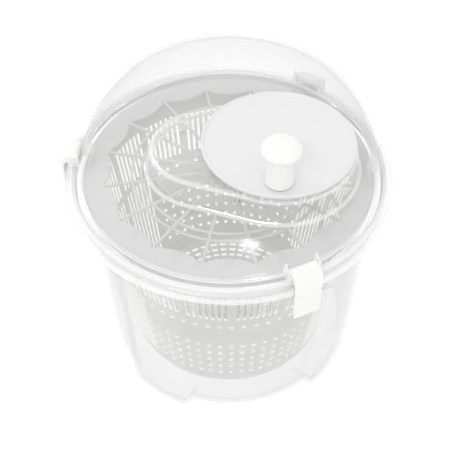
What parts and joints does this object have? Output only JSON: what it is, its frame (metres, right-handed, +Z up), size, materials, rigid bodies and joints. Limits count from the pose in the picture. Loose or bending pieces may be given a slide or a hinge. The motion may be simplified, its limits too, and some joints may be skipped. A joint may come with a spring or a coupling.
{
  "type": "salad spinner",
  "caption": "Hand-cranked salad spinner: clear bowl, slotted basket with a web cover, geared clip-on lid with an offset crank disc and a folding bail handle.",
  "frame": {"origin": "on the bowl's axis at the surface that the feet stand on", "axes": "+Z up, +X towards the crank's axis, -Y towards the side where the knob rests"},
  "size_m": [0.2479, 0.244, 0.244],
  "materials": {
    "clear_plastic": "clear, glossy",
    "smoke_plastic": "grey translucent, glossy",
    "white_plastic": "white, satin gloss",
    "disc_plastic": "light grey, satin",
    "acetal": "natural white, satin",
    "seal": "pale soft ring",
    "steel": "plain"
  },
  "bodies": {
    "bowl": {"bowl": "clear_plastic"},
    "basket": {"basket": "smoke_plastic", "basket_bush": "acetal"},
    "cover": {"basket_cover": "smoke_plastic", "cover_hub": "white_plastic"},
    "lid": {"lid": "clear_plastic", "lid_gasket": "seal", "gear_base_plate": "clear_plastic", "gear_screw_1": "steel", "gear_screw_2": "steel", "gear_screw_3": "steel", "gear_screw_4": "steel", "crank_bush": "acetal", "clip_pin_1": "steel", "clip_pin_2": "steel", "clip_pin_3": "steel", "handle_pivot_1": "clear_plastic", "handle_pivot_2": "clear_plastic"},
    "crank": {"crank_disc": "disc_plastic", "drive_gear": "acetal", "crank_washer": "steel", "crank_screw": "steel", "knob_pin": "steel"},
    "knob": {"knob": "white_plastic"},
    "pinion": {"pinion": "acetal"},
    "clip_1": {"clip_1": "white_plastic"},
    "clip_2": {"clip_2": "white_plastic"},
    "clip_3": {"clip_3": "white_plastic"},
    "handle": {"carry_handle": "clear_plastic"}
  },
  "joints": [
    {"name": "basket_spin", "type": "hinge", "parent": "bowl", "child": "basket", "pos_m": [0, 0, 0.02], "axis": [0, 0, 1], "continuous": true},
    {"name": "lid_lift", "type": "slide", "parent": "bowl", "child": "lid", "axis": [0, 0, 1], "range_m": [0, 0.2]},
    {"name": "cover_lift", "type": "slide", "parent": "basket", "child": "cover", "axis": [0, 0, 1], "range_m": [0, 0.08]},
    {"name": "crank_spin", "type": "hinge", "parent": "lid", "child": "crank", "pos_m": [0.036, 0, 0.2], "axis": [0, 0, 1], "continuous": true},
    {"name": "pinion_spin", "type": "hinge", "parent": "lid", "child": "pinion", "pos_m": [0, 0, 0.19], "axis": [0, 0, 1], "continuous": true},
    {"name": "knob_spin", "type": "hinge", "parent": "crank", "child": "knob", "pos_m": [0.0346, -0.041, 0.22], "axis": [0, 0, 1], "continuous": true},
    {"name": "clip_1_open", "type": "hinge", "parent": "lid", "child": "clip_1", "pos_m": [0.04831, -0.10359, 0.1898], "axis": [-0.9063, -0.4226, 0], "range_deg": [0, 100]},
    {"name": "clip_2_open", "type": "hinge", "parent": "lid", "child": "clip_2", "pos_m": [0.06556, 0.09363, 0.1898], "axis": [0.8192, -0.5736, 0], "range_deg": [0, 100]},
    {"name": "clip_3_open", "type": "hinge", "parent": "lid", "child": "clip_3", "pos_m": [-0.11386, 0.00996, 0.1898], "axis": [0.0872, 0.9962, 0], "range_deg": [0, 100]},
    {"name": "handle_fold", "type": "hinge", "parent": "lid", "child": "handle", "pos_m": [0, 0, 0.192], "axis": [0.9962, -0.0872, 0], "range_deg": [0, 154]}
  ],
  "couplings": [
    {"joint": "crank_spin", "follows": "basket_spin", "ratio": -0.25},
    {"joint": "pinion_spin", "follows": "basket_spin", "ratio": 1},
    {"joint": "cover_lift", "follows": "lid_lift", "ratio": 0.4}
  ]
}
